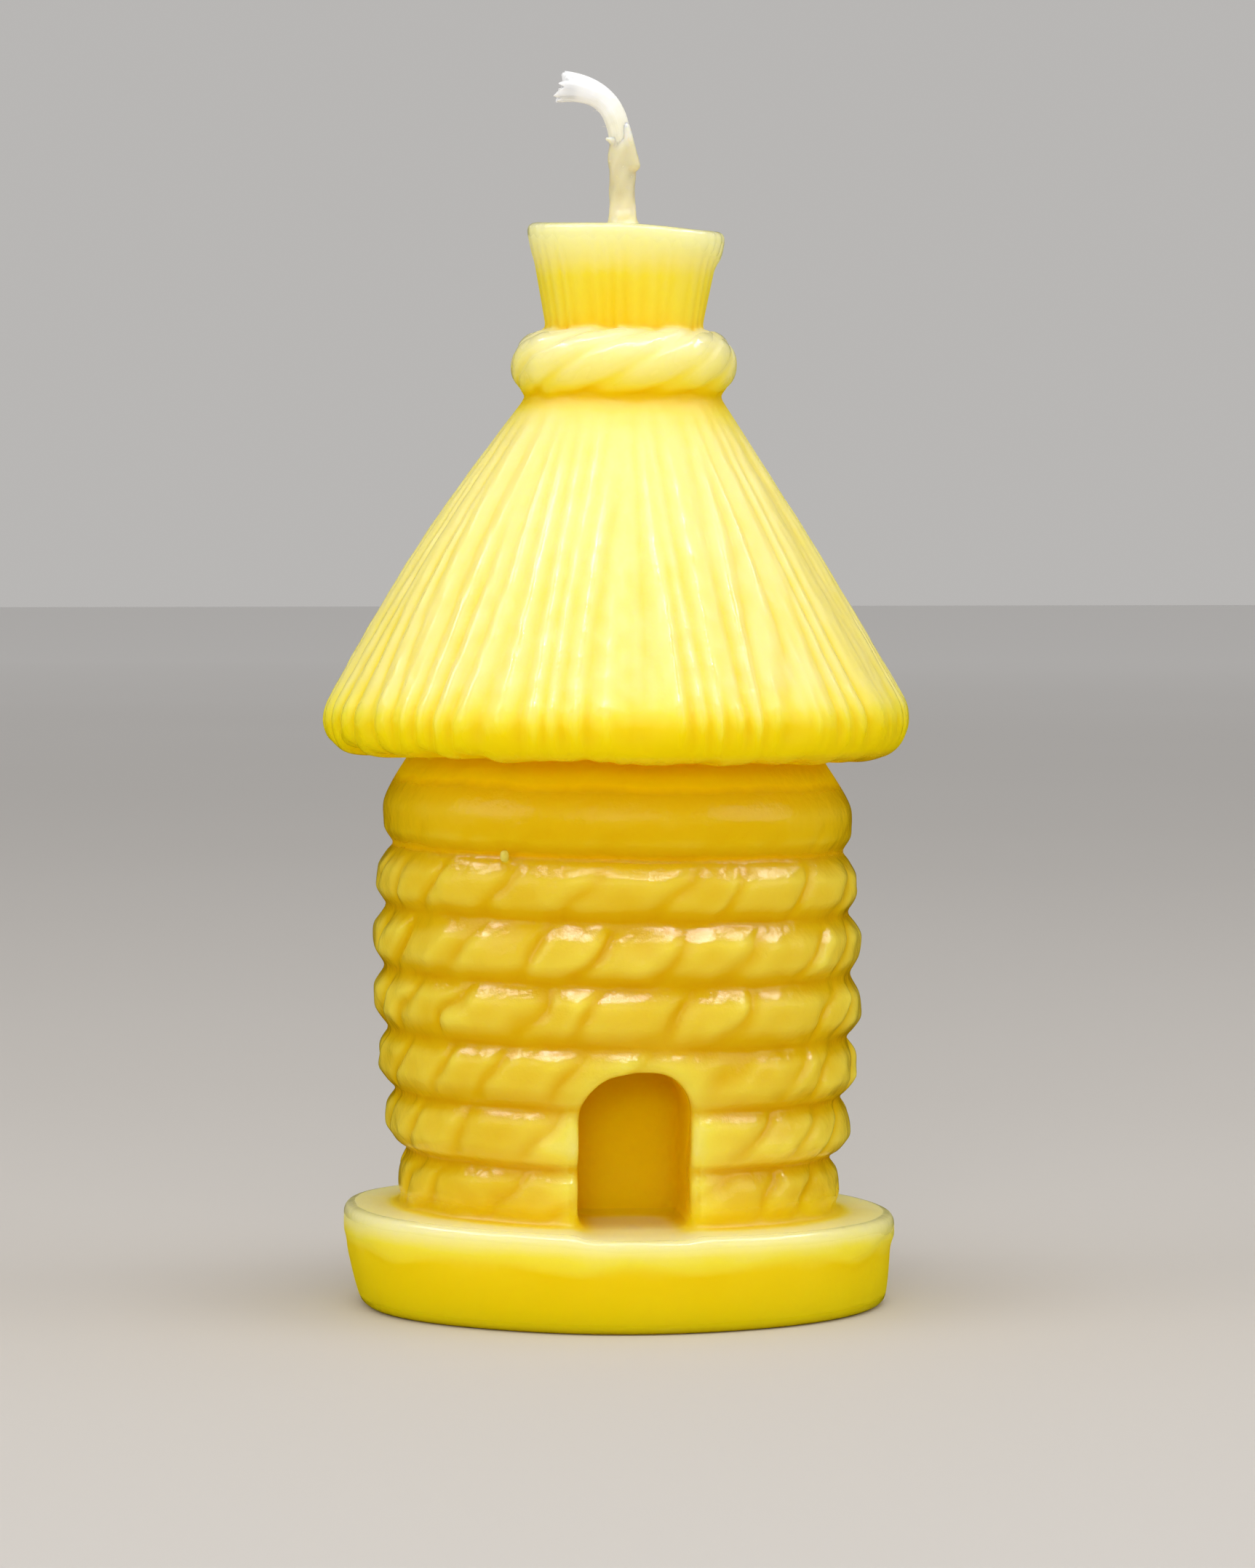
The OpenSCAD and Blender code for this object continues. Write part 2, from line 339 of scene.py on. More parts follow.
def add_plinth():
    rng = np.random.default_rng(3)
    here, x, y, z, radius, angle = block(-1.5, 14, 28.5)
    ring = ANGLES[:, None]
    side = ring_values(0.16 * ripple(rng, ring, 0, 8, 7, 0), angle)
    line = PLINTH_LINE + ring_values(0.35 * ripple(rng, ring, 0, 9, 16, 0), angle)
    top = PLINTH_TOP - TILT * x
    rim = rounded_disc(radius, z, PLINTH_R + 0.25 + side, line, top, 0.9)
    foot_radius = np.hypot(x - 0.4 * np.clip(1 - z / 5, 0, 1), y)
    foot_side = FOOT_R + (PLINTH_R - FOOT_R) * np.clip(z / 6, 0, 1) ** 0.55 + side * 0.8
    foot = rounded_disc(foot_radius, z, foot_side, 0.0, 7.4, 0.7)
    field[here] = np.minimum(field[here], smooth_union(rim, foot, 0.45))


# A crumb of wax left in the top groove: degrees left of the view, reach, height and size
CRUMB_BEARING, CRUMB_REACH, CRUMB_Z, CRUMB_R = 27.8, 21.9, 42.9, 0.5


def add_wall():
    here, x, y, z, radius, angle = block(WALL_LOW - 0.5, WALL_HIGH + 0.5, 25.5)
    tilted = z + TILT * x
    surface = read_table(wall_table(), angle, (tilted - WALL_LOW) / (WALL_HIGH - WALL_LOW))
    wall = (radius - surface) * 0.85
    wall = np.maximum(wall, np.maximum(WALL_LOW - z, z - WALL_HIGH))
    # The doorway widens a little towards the front, as a mould's core does
    half = DOOR_W / 2 - 0.25 + 0.012 * (DOOR_BACK - y)
    top = DOOR_TOP + 0.35 - 0.55 * ((x - 0.8) / half) ** 2 + np.minimum(x, 0) * 0.1
    out, over = np.abs(x) - half, z - top
    corner = np.hypot(np.maximum(out + DOOR_CORNER, 0), np.maximum(over + DOOR_CORNER, 0)) - DOOR_CORNER
    arch = np.where((out > -DOOR_CORNER) & (over > -DOOR_CORNER), corner, np.maximum(out, over))
    doorway = smooth_max(arch, y - DOOR_BACK, DOOR_ROUNDING)
    doorway = smooth_max(doorway, PLINTH_TOP - 0.1 - z, DOOR_ROUNDING)
    bearing = FRONT - VIEW_TURN - math.radians(CRUMB_BEARING)
    crumb_x, crumb_y = CRUMB_REACH * math.cos(bearing), CRUMB_REACH * math.sin(bearing)
    crumb_z = np.maximum(np.abs(z - CRUMB_Z) - 0.15, 0)
    crumb = np.sqrt((x - crumb_x) ** 2 + (y - crumb_y) ** 2 + crumb_z ** 2) - CRUMB_R
    wall = smooth_union(wall, crumb, 0.2)
    field[here] = smooth_cut(smooth_union(field[here], wall, 2.0), doorway, DOOR_LIP)


def add_roof():
    rng = np.random.default_rng(9)
    here, x, _, z, radius, angle = block(ROOF_LOW, TIE_Z + 2, 29.5)
    edge_r, edge_z = EAVE_R - EAVE_EDGE, EAVE_Z + EAVE_EDGE
    run, rise = ROOF_TOP_R - edge_r, TIE_Z - edge_z
    span = math.hypot(run, rise)
    normal = math.atan2(rise, run) - math.acos(EAVE_EDGE / span)
    nx, nz = math.cos(normal), math.sin(normal)
    ex, ez = radius - edge_r, z - edge_z
    slope = ex * nx + ez * nz - EAVE_EDGE
    along = ez * nx - ex * nz
    # The cone swells a little between eave and tie
    swell = 0.3 + 0.5 * np.clip(-x / np.maximum(radius, 1), 0, 1) ** 2
    slope = slope - swell * np.sin(np.clip(along / (span * 0.97), 0, 1) * math.pi)
    ring = ANGLES[:, None]
    ragged = 0.22 * ripple(rng, ring, 0, 12, 34, 0) + 0.12 * ripple(rng, ring, 0, 10, 90, 0)
    left = 0.6 + 0.8 * np.clip(-np.cos(ring + 0.5), 0, 1)
    ragged = ragged * left
    for bearing, width, drop in LIP_NUBS:
        away = ring - FRONT + VIEW_TURN - math.radians(bearing)
        ragged = ragged - drop * np.exp(-(away / width) ** 2)
    under = UNDER_EAVE - 0.024 * x - z + ring_values(ragged, angle)
    beyond = np.where(ex < 0, -ez - EAVE_EDGE, np.hypot(ex, ez) - EAVE_EDGE)
    roof = smooth_max(np.where(along > 0, slope, beyond), under, 1.0)
    dents = read_table(roof_table(), angle, (z - ROOF_LOW) / (ROOF_HIGH - ROOF_LOW))
    # The grooves run out just above the lip
    fade = np.clip((z - UNDER_EAVE - 0.5) / 2.2, 0, 1) * np.clip((ex + 1.5) / 3 + np.clip(along, 0, 4), 0, 1)
    roof = (roof + dents * fade) * 0.9
    roof = np.maximum(roof, z - TIE_Z - 1.5)
    field[here] = smooth_union(field[here], roof, 0.35)


def add_tie():
    here, _, _, z, radius, angle = block(TIE_Z - 2, TIE_TOP + 2, 13.5)
    ex, ez = radius - BUNDLE_R, z - (TIE_Z + TIE_TOP) / 2 + 0.15
    section = np.arctan2(ez, np.maximum(ex, 0.01)) / (math.pi / 2)
    dents = read_table(tie_table(), angle, (section + 1) / 2)
    tie = np.hypot(ex, ez * 0.97) - TIE_EDGE - 0.1 + dents
    field[here] = smooth_union(field[here], tie, 0.3)


def add_topknot():
    here, x, y, z, radius, angle = block(TIE_Z, TOP_Z + 2.5, 13.5)
    level = (z - TIE_TOP) / (TOP_Z - TIE_TOP)
    flare = BUNDLE_R - 0.05 + (RIM_R - BUNDLE_R) * np.clip(level, 0, 1) ** 1.05
    # The cut end stands out a little over the flutes, more on the right
    band = 0.5 + 0.5 * np.tanh((z - TOP_Z + 2.9 + 0.4 * np.sin(3 * angle + 1)) / 0.45)
    flare = flare + band * (0.12 + 0.33 * np.clip(x / np.maximum(radius, 1), 0, 1))
    surface = flare - read_table(topknot_table(), angle, level + np.zeros_like(radius))
    top = TOP_Z + 0.1 - 0.05 * x + 0.06 * np.sin(0.45 * y + 0.6) + 0.05 * np.cos(0.5 * x)
    knot = smooth_max(radius - surface, z - top, 1.1)
    knot = np.maximum(knot, TIE_Z + 0.5 - z)
    field[here] = smooth_union(field[here], knot, 0.45)


def blur_field(values):
    """One light blur along each axis, which takes the hard edge off every groove as casting does."""
    for axis in range(3):
        values = (np.roll(values, 1, axis) + np.roll(values, -1, axis) + 2 * values) / 4
    return values


def sample_field(values, points):
    """Trilinear reading of a field at points counted in voxels."""
    base = np.clip(np.floor(points).astype(np.int32), 0, np.array(values.shape) - 2)
    f = np.clip(points - base, 0, 1).astype(np.float32)
    total = 0
    for dx in (0, 1):
        for dy in (0, 1):
            for dz in (0, 1):
                weight = abs(1 - dx - f[:, 0]) * abs(1 - dy - f[:, 1]) * abs(1 - dz - f[:, 2])
                total = total + weight * values[base[:, 0] + dx, base[:, 1] + dy, base[:, 2] + dz]
    return total


def normals_of(values, points):
    """Unit vectors out of the surface at points counted in voxels."""
    steps = np.eye(3, dtype=np.float32) * 0.7
    slope = [sample_field(values, points + d) - sample_field(values, points - d) for d in steps]
    slope = np.stack(slope, 1)
    return slope / np.maximum(np.linalg.norm(slope, axis=1, keepdims=True), 1e-6)


FADE_MM = 2.4                 # light from above fades this fast inside the wax
# and comes back this fast below an overhang: slowly under the wide eave, quickly under the tie
RECOVER_Z, RECOVER_MM = [60, 75], [14.0, 2.5]
# A thin place gains paleness as painted light, and a hemmed-in place loses it as painted shade
SURROUND_SHARE = 1.1          # how much a thin place gains, and a hemmed-in place loses
SURROUND_BLURS = 34           # gives a neighbourhood of about 4 mm
CREASE_BLURS = 10
CREASE_REACH = 2.0            # hollows and ridges are not looked for further than this from the surface
UNDER_SKIN = 0.6              # the light is read this far under the surface
# Painted light and shade added to the paleness by height: the eave's lip is deeper in tone as painted shade,
# and the plinth's top, the lowest courses, the tie and the slender topknot are lighter as painted light
HEIGHT_PAINTED_TONE = [
    (0, -0.06), (7, -0.03), (9, 0.18), (11, 0.2), (15, 0.14), (20, 0.05), (42, 0), (45, -0.04), (50, -0.03),
    (52, -0.14), (54, -0.18), (58.5, 0), (82, 0), (85, 0.2), (88, 0.12), (91, 0.34), (95.5, 0.18), (98, 0.26),
    (101, 0.3),
]
# Painted shade: the doorway's inner walls lose this much paleness, by place from front to back
DOOR_PAINTED_SHADE = [(-20.5, 0), (-18, 0.3), (0, 0.3), (0.1, 0)]
# The share of the cooler yellow by height: all of it in the plinth and from the eave up, none in the wall
COOL = [(9.4, 1), (11.5, 0), (50.8, 0), (52.2, 1)]


def light_from_above(values):
    """How much light from above reaches each voxel. It fades in the wax and comes back in the open below."""
    wax = np.clip(0.5 - values / VOXEL, 0, 1)
    light = np.ones(values.shape[:2], np.float32)
    reached = np.empty_like(values)
    for k in reversed(range(values.shape[2])):
        share = wax[:, :, k]
        light = light * (1 - share * VOXEL / FADE_MM)
        light = light + (1 - light) * (1 - share) * VOXEL / np.interp(Z[k], RECOVER_Z, RECOVER_MM)
        for _ in range(2):
            light = (np.roll(light, 1, 0) + np.roll(light, -1, 0) + 2 * light) / 4
            light = (np.roll(light, 1, 1) + np.roll(light, -1, 1) + 2 * light) / 4
        reached[:, :, k] = light
    return reached


def surround_field(values):
    """The share of wax in a wide neighbourhood of each point, on a grid four times as coarse."""
    wax = np.clip(0.5 - values / VOXEL, 0, 1)
    shape = [n // 4 * 4 for n in wax.shape]
    wax = wax[:shape[0], :shape[1], :shape[2]]
    coarse = wax.reshape(shape[0] // 4, 4, shape[1] // 4, 4, shape[2] // 4, 4).mean((1, 3, 5))
    for _ in range(SURROUND_BLURS):
        coarse = blur_field(coarse)
    return coarse


def crease_field(soft):
    """Above 0 in hollows and below 0 on ridges: how far the surface lies under its own blurred shape."""
    near = np.clip(soft, -CREASE_REACH, CREASE_REACH)
    wide = near
    for _ in range(CREASE_BLURS):
        wide = blur_field(wide)
    return near - wide


def mesh_object(name, points, faces):
    """A smooth-shaded object from points in millimetres and rows of corner numbers."""
    faces = np.asarray(faces, np.int32)
    corners = faces.shape[1]
    mesh = bpy.data.meshes.new(name)
    mesh.vertices.add(len(points))
    mesh.vertices.foreach_set("co", (np.asarray(points) * MM).astype(np.float32).ravel())
    mesh.loops.add(faces.size)
    mesh.loops.foreach_set("vertex_index", faces.ravel())
    mesh.polygons.add(len(faces))
    mesh.polygons.foreach_set("loop_start", np.arange(0, faces.size, corners, dtype=np.int32))
    mesh.polygons.foreach_set("use_smooth", np.ones(len(faces), bool))
    mesh.update(calc_edges=True)
    piece = bpy.data.objects.new(name, mesh)
    bpy.context.scene.collection.objects.link(piece)
    return piece


def add_values(piece, name, values):
    """One number per vertex, which the material reads by name."""
    layer = piece.data.attributes.new(name, "FLOAT", "POINT")
    layer.data.foreach_set("value", np.asarray(values, np.float32))


def surface_of(values):
    """Points in voxels and quads of the surface where a field is zero."""
    grid = openvdb.FloatGrid(FAR)
    grid.copyFromArray(np.ascontiguousarray(values, np.float32), tolerance=0)
    return grid.convertToQuads(0.0)


def wax_piece(soft):
    """The casting as a closed mesh, whose points know how much light reaches them."""
    painted_light, crease, surround = light_from_above(soft), crease_field(soft), surround_field(soft)
    points, quads = surface_of(soft)
    place = points * VOXEL + np.array([X[0], X[0], Z[0]])
    piece = mesh_object("wax_casting", place, quads)
    normals = normals_of(soft, points)
    under = points - normals * (UNDER_SKIN / VOXEL)
    above = sample_field(painted_light, under)
    around = sample_field(surround, (under - 1.5) / 4)
    tone = by_knots(place[:, 2], HEIGHT_PAINTED_TONE)
    # Painted shade: the doorway's walls are made the deepest tone of all
    inside = (np.abs(place[:, 0]) < DOOR_W / 2 + 0.8) & (place[:, 2] < DOOR_TOP + 1.5) & (normals[:, 2] < 0.5)
    tone = tone - inside * by_knots(place[:, 1], DOOR_PAINTED_SHADE)
    # Painted light and shade: the light from above, the height tones, the doorway's painted shade, painted
    # light on thin places and painted shade on hemmed-in ones
    add_values(piece, "painted_light", above + tone + SURROUND_SHARE * (0.5 - around) * np.clip(1 - 2 * above, 0, 1))
    add_values(piece, "crease", sample_field(crease, points))
    add_values(piece, "cool", by_knots(place[:, 2], COOL))
    return piece


# -------------------------------- the wick

# The centreline, in millimetres from the foot: to the right, and up from the wax
WICK_ROUTE = [
    (0, 0), (0.02, 2.2), (0.02, 4.4), (-0.02, 6.2), (-0.08, 7.8), (-0.22, 8.9), (-0.5, 10.0),
    (-1.0, 11.15), (-1.7, 11.95), (-2.5, 12.45), (-3.5, 12.85), (-4.65, 13.05), (-5.6, 13.08), (-6.6, 13.05),
]
WICK_FOOT = [WICK_X, 0, TOP_Z]
WICK_R = 1.12
YARNS = 4                     # yarns that wind each way
YARN_THIN, YARN_WIDE, YARN_SIDES = 0.3, 0.52, 16
CORE_R, CORE_SIDES = 0.5, 10
BRAID_PITCH = 7.5
BRAID_END = 7.2               # above this the yarns are lost in loose cotton
BODY_START, BODY_OPENS = 5.8, 11.0   # where the loose cotton begins, and where it starts to widen
BODY_SIDES, BODY_ROWS = 128, 110
WIDEN_ACROSS, WIDEN_DEEP = 0.42, 0.14
TIP_RINGS = (0.8, 0.55, 0.3, 0.08)   # rings that close the cut end, as shares of its outline
END_FIBRES, FIBRE_LENGTH = 110, 2.2
STRAY_HAIRS, HAIR_R = 30, 0.014
# The cut's middle, to the right and up, and the direction it runs in
CUT_MIDDLE, CUT_ALONG = np.array([-5.55, 13.0]), np.array([1.0, 3.2])
CUT_NORMAL = np.array([-CUT_ALONG[1], CUT_ALONG[0]]) / np.linalg.norm(CUT_ALONG)


def smooth_route(route, step):
    """Points one step apart along a smooth curve through a route, with their distances along it."""
    knots = np.asarray(route, float)
    along = np.concatenate([[0], np.cumsum(np.linalg.norm(np.diff(knots, axis=0), axis=1))])
    fine = np.arange(0, along[-1], step)
    points = np.stack([np.interp(fine, along, knots[:, c]) for c in range(knots.shape[1])], 1)
    width = max(1, round(0.8 / step))
    window = np.ones(2 * width + 1) / (2 * width + 1)
    for _ in range(3):
        before = 2 * points[0] - points[width:0:-1]
        after = 2 * points[-1] - points[-2:-width - 2:-1]
        padded = np.concatenate([before, points, after])
        points = np.stack([np.convolve(column, window, "valid") for column in padded.T], 1)
    return points, fine


def bare_wick():
    """The centreline above the wax, from the wick's foot at (0, 0, 0), with the distances along it."""
    return smooth_route([(x, 0.0, z) for x, z in WICK_ROUTE], 0.12)


def closed_rings(count, sides):
    """Quads that join rings of points into a tube, with both ends closed."""
    ring = np.arange(sides)
    low = (np.arange(count - 1)[:, None] * sides + ring).ravel()
    low_next = (np.arange(count - 1)[:, None] * sides + (ring + 1) % sides).ravel()
    quads = np.stack([low, low_next, low_next + sides, low + sides], 1)
    caps = []
    for ids in (ring[::-1], (count - 1) * sides + ring):
        caps += [[ids[k], ids[k + 1], ids[sides - 2 - k], ids[sides - 1 - k]] for k in range(sides // 2 - 1)]
    return np.concatenate([quads, np.array(caps)])


def tube(path, side, other, radius_a, radius_b, sides, turn=0.0, relief=0.0, lobes=0):
    """Points and quads of a tube round a path. Its section is an ellipse with twisted lobes."""
    round_it = np.linspace(0, 2 * math.pi, sides, endpoint=False)[None, :]
    swell = 1 + relief * np.cos(lobes * round_it + np.asarray(turn).reshape(-1, 1))
    a = (np.asarray(radius_a).reshape(-1, 1) * swell * np.cos(round_it))[..., None]
    b = (np.asarray(radius_b).reshape(-1, 1) * swell * np.sin(round_it))[..., None]
    points = path[:, None, :] + a * side[:, None, :] + b * other[:, None, :]
    return points.reshape(-1, 3), closed_rings(len(path), sides)


def frames_along(path):
    """Unit vectors across a path that lies in the XZ plane: one in that plane, and one along Y."""
    ahead = np.gradient(path, axis=0)
    ahead /= np.linalg.norm(ahead, axis=1, keepdims=True)
    depth = np.tile([0.0, 1.0, 0.0], (len(path), 1))
    return np.cross(depth, ahead), depth


def gather(parts):
    """Joins lists of points and quads into one."""
    points, quads, start = [], [], 0
    for part_points, part_quads in parts:
        points.append(part_points)
        quads.append(part_quads + start)
        start += len(part_points)
    return np.concatenate(points), np.concatenate(quads)


def wick_parts():
    """The braid's yarns, each a twisted tube, from the candle's foot to the start of the loose cotton."""
    bare, along = bare_wick()
    buried = np.arange(-TOP_Z + 0.3, 0, 0.6)
    path = np.concatenate([np.stack([0 * buried, 0 * buried, buried], 1), bare])
    along = np.concatenate([buried, along])
    path = path + WICK_FOOT
    keep = along < BRAID_END
    path, along = path[keep], along[keep]
    side, depth = frames_along(path)
    parts, places = [], []
    for way in (1, -1):
        for n in range(YARNS):
            wind = 2 * math.pi * along / BRAID_PITCH
            angle = 2 * math.pi * n / YARNS + way * wind
            over = way * np.cos(YARNS * wind)
            reach = WICK_R - 0.42 + 0.13 * over
            out = np.cos(angle)[:, None] * side + np.sin(angle)[:, None] * depth
            round_it = -np.sin(angle)[:, None] * side + np.cos(angle)[:, None] * depth
            yarn = path + reach[:, None] * out
            parts.append(tube(yarn, out, round_it, YARN_THIN, YARN_WIDE, YARN_SIDES,
                              turn=way * along * 5.5, relief=0.07, lobes=6))
            places.append(np.repeat(along, YARN_SIDES))
    parts.append(tube(path, side, depth, CORE_R, CORE_R, CORE_SIDES))
    places.append(np.repeat(along, CORE_SIDES))
    return parts, places


def cotton_body(bare, along):
    """The loose cotton above the braid: one soft body that widens to a ragged, slanted cut."""
    rng = np.random.default_rng(43)
    side, depth = frames_along(bare)
    angles = np.linspace(0, 2 * math.pi, BODY_SIDES, endpoint=False)

    def place_on(reach, t, swell):
        """Points on the body at distances along it, one row for each angle."""
        at = [np.stack([np.interp(reach, along, v[:, c]) for c in range(3)], -1) for v in (bare, side, depth)]
        across = WICK_R * swell * (0.94 + WIDEN_ACROSS * t ** 1.5)
        deep = WICK_R * swell * (0.94 + WIDEN_DEEP * t)
        return at[0] + (across * np.cos(angles)[:, None])[..., None] * at[1] \
            + (deep * np.sin(angles)[:, None])[..., None] * at[2]

    full = np.linspace(BODY_START, along[-1], 240)[None, :].repeat(BODY_SIDES, 0)
    spread = np.clip((full - BODY_OPENS) / (along[-1] - BODY_OPENS), 0, 1)
    points = place_on(full, spread, 1.0)
    past = (points[..., [0, 2]] - CUT_MIDDLE) @ CUT_NORMAL
    ragged = 0.24 * ripple(rng, angles, 0, 9, 14, 0)
    last = np.array([full[k, np.argmax(past[k] > ragged[k])] for k in range(BODY_SIDES)])
    reach = BODY_START + np.linspace(0, 1, BODY_ROWS)[None, :] * (last[:, None] - BODY_START)
    spread = np.clip((reach - BODY_OPENS) / (along[-1] - BODY_OPENS), 0, 1)
    fibres = 0.007 * ripple(rng, angles[:, None], reach, 26, 44, 0.9)
    fibres = fibres + 0.014 * ripple(rng, angles[:, None], reach, 12, 9, 1.2)
    start = np.clip((reach - BODY_START) / 1.5, 0, 1) ** 0.5
    points = place_on(reach, spread, (0.8 + 0.2 * start) * (1 + fibres))
    middle = points[:, -1].mean(0)
    rings = [points[:, k] for k in range(BODY_ROWS)]
    for share in TIP_RINGS:
        dip = rng.uniform(-0.12, 0.12, (BODY_SIDES, 1)) * share * np.array([CUT_NORMAL[0], 0, CUT_NORMAL[1]])
        rings.append(middle + (points[:, -1] - middle) * share - dip)
    grid = np.stack(rings, 0)
    reach = np.concatenate([reach.T, reach[:, -1:].T.repeat(len(TIP_RINGS), 0)])
    return grid.reshape(-1, 3) + WICK_FOOT, closed_rings(len(rings), BODY_SIDES), reach.ravel()


def fray_parts():
    """The loose cotton of the cut tip, with its fibre ends, and a few stray hairs lower down."""
    rng = np.random.default_rng(41)
    bare, along = bare_wick()
    body_points, body_quads, body_along = cotton_body(bare, along)
    parts, places = [(body_points, body_quads)], [body_along]
    take = along > along[-1] - FIBRE_LENGTH
    path, where = bare[take], along[take]
    for _ in range(END_FIBRES):
        around = rng.uniform(0, 2 * math.pi)
        depth_in = 0.95 * math.sqrt(rng.uniform(0, 1))
        side, depth = frames_along(path)
        t = np.clip((where - BODY_OPENS) / (along[-1] - BODY_OPENS), 0, 1)[:, None]
        drift = around + rng.uniform(-0.25, 0.25) * (where - where[0])[:, None] / 2
        wave = np.sin(np.linspace(0, 1, len(path)) * rng.uniform(2, 7) + rng.uniform(0, 6))[:, None]
        lift = 0.99 + 0.02 * wave
        across = depth_in * np.cos(drift) * WICK_R * (0.94 + WIDEN_ACROSS * t ** 1.5) * lift
        deep = depth_in * np.sin(drift) * WICK_R * (0.94 + WIDEN_DEEP * t) * lift
        line = path + across * side + deep * depth
        past = (line[:, [0, 2]] - CUT_MIDDLE) @ CUT_NORMAL
        line = line[past < rng.uniform(-0.1, 0.22)]
        if len(line) < 8:
            continue
        side, depth = frames_along(line)
        thick = rng.uniform(0.03, 0.05) * (1 - 0.5 * np.linspace(0, 1, len(line)) ** 3)
        parts.append(tube(line + WICK_FOOT, side, depth, thick, thick, 6))
        places.append(np.repeat(where[:len(line)], 6))
    for _ in range(STRAY_HAIRS):
        s = rng.integers(10, len(bare) - 1)
        around, length = rng.uniform(0, 2 * math.pi), rng.uniform(0.2, 0.9)
        t = np.linspace(0, 1, 9)[:, None]
        out = np.array([math.cos(around), math.sin(around), rng.uniform(-0.4, 0.9)])
        bend = rng.uniform(-0.6, 0.6, 3)
        line = bare[s] + out * (0.75 + length * t * 0.55) + bend * t ** 2
        ahead = np.gradient(line, axis=0)
        ahead /= np.linalg.norm(ahead, axis=1, keepdims=True)
        side = np.cross(ahead, [0.3, 0.5, 0.8])
        side /= np.linalg.norm(side, axis=1, keepdims=True)
        parts.append(tube(line + WICK_FOOT, side, np.cross(ahead, side), HAIR_R, HAIR_R, 4))
        places.append(np.full(len(line) * 4, along[s]))
    return parts, places


def make_wick():
    parts, places = wick_parts()
    more, more_places = fray_parts()
    points, quads = gather(parts + more)
    piece = mesh_object("wick_braid", points, quads)
    add_values(piece, "along", np.concatenate(places + more_places))
    return piece


COAT_VOXEL = 0.1
COAT_LOW, COAT_TOP = -1.0, 9.6       # from under the wax's surface to where the coat has run out
THIN_FROM = 6.0
# Beads on the coat, each a tapered capsule: its ends, to the right of the foot and above it, the radius at each
# end, its place from front to back, and its fillet. They are a run, two crumbs and a drop at the foot
COAT_BEADS = [
    ((0.3, 9.3), (1.02, 5.8), 0.4, 0.62, -0.6, 0.3),
    ((-0.95, 8.05), (-1.45, 8.2), 0.36, 0.16, -0.5, 0.2),
    ((-1.05, 6.1), (-1.2, 6.12), 0.2, 0.12, -0.4, 0.1),
    ((-0.25, 1.1), (0.35, 1.25), 0.35, 0.3, -0.98, 0.3),
]


def make_wick_wax():
    """Wax drawn up the wick: a thin coat that widens at its foot, with a few beads on it."""
    bare = bare_wick()[0] + WICK_FOOT
    xs = np.arange(WICK_X - 4.5, WICK_X + 4.5, COAT_VOXEL, dtype=np.float32)
    ys = np.arange(-3.2, 3.2, COAT_VOXEL, dtype=np.float32)
    zs = np.arange(TOP_Z - 1.6, TOP_Z + 11.5, COAT_VOXEL, dtype=np.float32)
    x, y, z = np.meshgrid(xs, ys, zs, indexing="ij", sparse=True)
    mid_x = np.interp(z, bare[:, 2], bare[:, 0])
    height = z - TOP_Z
    dx, radius = x - mid_x, np.hypot(x - mid_x, y)
    angle = np.arctan2(y, dx)
    lumps = 0.035 * (np.sin(3 * angle + 1.7 * height) + np.sin(5 * angle - 2.3 * height + 1)
                     + np.sin(2 * angle + 0.9 * height + 2))
    thin = np.clip((height - THIN_FROM) / (COAT_TOP - THIN_FROM), 0, 1)
    rim = WICK_R + 0.1 - 0.34 * thin ** 1.3 + lumps
    foot = (0.62 + 0.28 * dx / np.maximum(radius, 0.3)) * np.exp(-np.maximum(height, -0.4) / 0.42)
    coat = (radius - rim - foot) * 0.8
    coat = np.maximum(coat, np.maximum(COAT_LOW - height, height - COAT_TOP))
    for start, end, r_start, r_end, front, fillet in COAT_BEADS:
        a, b = np.array([start[0], front, start[1]]), np.array([end[0], front, end[1]])
        a, span = a + WICK_FOOT, b - a
        from_a = (x - a[0], y - a[1], z - a[2])
        t = np.clip(sum(d * s for d, s in zip(from_a, span)) / (span @ span), 0, 1)
        gap = np.sqrt(sum((d - t * s) ** 2 for d, s in zip(from_a, span)))
        coat = smooth_union(coat, gap - (r_start + (r_end - r_start) * t), fillet)
    points, quads = surface_of(coat)
    piece = mesh_object("wick_wax_coat", points * COAT_VOXEL + [xs[0], ys[0], zs[0]], quads)
    add_values(piece, "along", points[:, 2] * COAT_VOXEL + zs[0] - TOP_Z)
    return piece


# -------------------------------- materials

FLOOR_REACH = 3.0             # metres from the candle to the floor's edge


def srgb(r, g, b):
    """A colour from its eight-bit screen values."""
    values = [c / 255 for c in (r, g, b)]
    return [c / 12.92 if c <= 0.04045 else ((c + 0.055) / 1.055) ** 2.4 for c in values] + [1.0]


